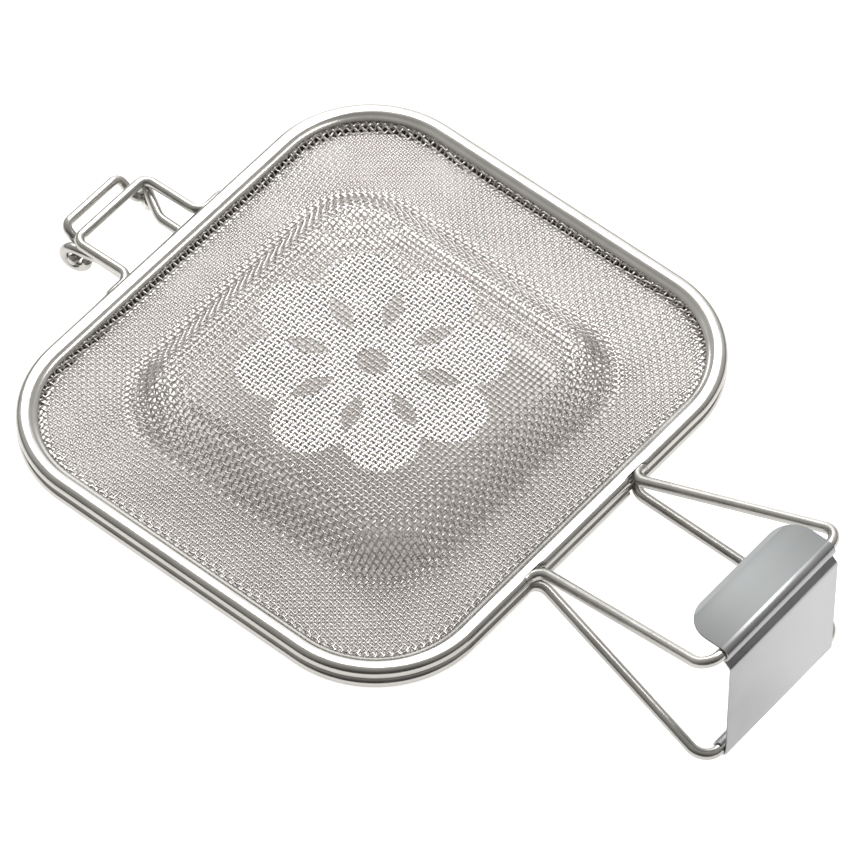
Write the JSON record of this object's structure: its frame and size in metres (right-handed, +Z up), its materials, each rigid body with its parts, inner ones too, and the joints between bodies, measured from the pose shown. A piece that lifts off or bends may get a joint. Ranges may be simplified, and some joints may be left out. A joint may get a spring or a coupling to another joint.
{
  "type": "mesh sandwich press",
  "caption": "Hinged square sandwich press of steel mesh trays with rolled rims, wire handles and a hooked sheet latch.",
  "frame": {"origin": "middle of the bounding box in plan, at the level of the lowest point, the underside of the latch's knuckle", "axes": "+X from the hinge towards the handles, +Y along the handle bars, +Z up through the closed lid"},
  "size_m": [0.2436, 0.163, 0.0468],
  "materials": {
    "rolled_sheet": "polished stainless steel",
    "core_wire": "plain drawn steel",
    "wire_cloth": "woven stainless wire",
    "polished_sheet": "polished stainless steel",
    "handle_wire": "polished drawn wire",
    "hinge_wire": "polished drawn wire",
    "spring_sheet": "polished spring sheet"
  },
  "bodies": {
    "lower_tray": {"lower_rim_band": "rolled_sheet", "lower_core_wire": "core_wire", "lower_mesh": "wire_cloth", "lower_handle_wire": "handle_wire", "hinge_eye_left": "hinge_wire", "hinge_eye_right": "hinge_wire"},
    "lid": {"upper_rim_band": "rolled_sheet", "upper_core_wire": "core_wire", "upper_mesh": "wire_cloth", "browning_plate": "polished_sheet", "upper_handle_wire": "handle_wire", "upper_hinge_loop": "hinge_wire"},
    "latch": {"latch_clip": "spring_sheet"},
    "bail": {"hinge_bail": "hinge_wire"}
  },
  "joints": [
    {"name": "lid_hinge", "type": "hinge", "parent": "lower_tray", "child": "lid", "pos_m": [-0.11335, 0, 0.0214], "axis": [0, -1, 0], "range_deg": [0, 110]},
    {"name": "latch_pivot", "type": "hinge", "parent": "lower_tray", "child": "latch", "pos_m": [0.11945, 0, 0.0023], "axis": [0, 1, 0], "range_deg": [0, 110]},
    {"name": "bail_swing", "type": "hinge", "parent": "lower_tray", "child": "bail", "pos_m": [-0.11335, 0, 0.01445], "axis": [0, -1, 0], "range_deg": [0, 90]}
  ]
}
